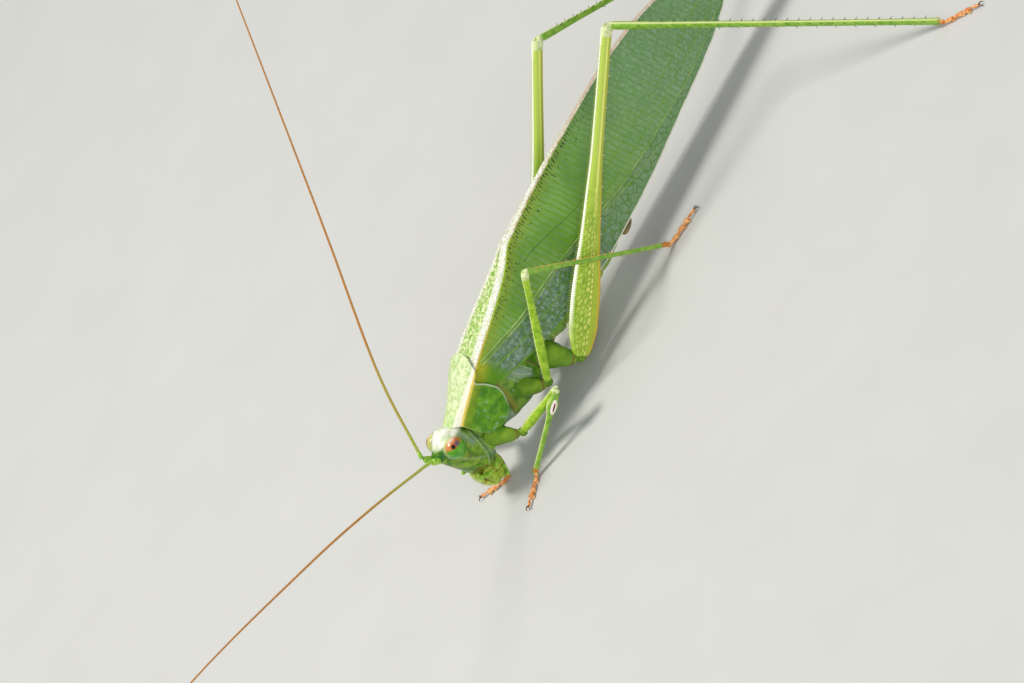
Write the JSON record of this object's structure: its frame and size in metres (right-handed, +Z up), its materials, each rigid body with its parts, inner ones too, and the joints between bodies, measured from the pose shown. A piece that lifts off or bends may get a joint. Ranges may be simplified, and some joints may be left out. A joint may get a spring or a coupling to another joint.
{
  "type": "long-horned grasshopper",
  "caption": "Slim leaf-green bush katydid standing on its feet, wings folded like a leaf, with long thread-like feelers and long hind legs.",
  "frame": {"origin": "centre of the bounding box on the floor that the feet stand on", "axes": "+Z up, head toward -X, the left side of the insect toward -Y; millimetre sizes stored in metres"},
  "size_m": [0.0936, 0.0384, 0.0423],
  "materials": {
    "cuticle": "smooth glossy green cuticle",
    "face": "glossy green face with faint brown lines",
    "disc": "finely grained pale green, cream edge stripe",
    "eye": "faceted brown above, green below",
    "wing": "leaf-green, leathery, netted with veins",
    "membrane": "green-tinted membrane with fine veins",
    "limb": "yellow-green with pale ridges",
    "foot": "orange pads, dark claws",
    "feeler": "fine ringed thread, yellow-brown",
    "mouth": "yellow-green mouthparts edged with brown",
    "belly": "soft banded green",
    "plate": "tan plates at the tip of the abdomen"
  },
  "bodies": {
    "root": {"pronotum": "disc", "head": "face", "thorax": "cuticle", "abdomen": "belly", "supra_anal_plate": "plate", "subgenital_plate": "belly", "labrum": "mouth", "labium": "mouth", "eye_left": "eye", "tegmen_left": "wing", "hindwing_left": "membrane", "mandible_left": "mouth", "cercus_left": "belly", "palp_maxillary_left": "mouth", "palp_labial_left": "mouth", "scape_left": "mouth", "antenna_left": "feeler", "eye_right": "eye", "tegmen_right": "wing", "hindwing_right": "membrane", "mandible_right": "mouth", "cercus_right": "belly", "palp_maxillary_right": "mouth", "palp_labial_right": "mouth", "scape_right": "mouth", "antenna_right": "feeler", "coxa_front_left": "cuticle", "femur_front_left": "limb", "tibia_front_left": "limb", "tarsus_front_left": "foot", "coxa_front_right": "cuticle", "femur_front_right": "limb", "tibia_front_right": "limb", "tarsus_front_right": "foot", "coxa_middle_left": "cuticle", "femur_middle_left": "limb", "tibia_middle_left": "limb", "tarsus_middle_left": "foot", "coxa_middle_right": "cuticle", "femur_middle_right": "limb", "tibia_middle_right": "limb", "tarsus_middle_right": "foot", "coxa_hind_left": "cuticle", "femur_hind_left": "limb", "tibia_hind_left": "limb", "tarsus_hind_left": "foot", "coxa_hind_right": "cuticle", "femur_hind_right": "limb", "tibia_hind_right": "limb", "tarsus_hind_right": "foot"}
  },
  "joints": []
}
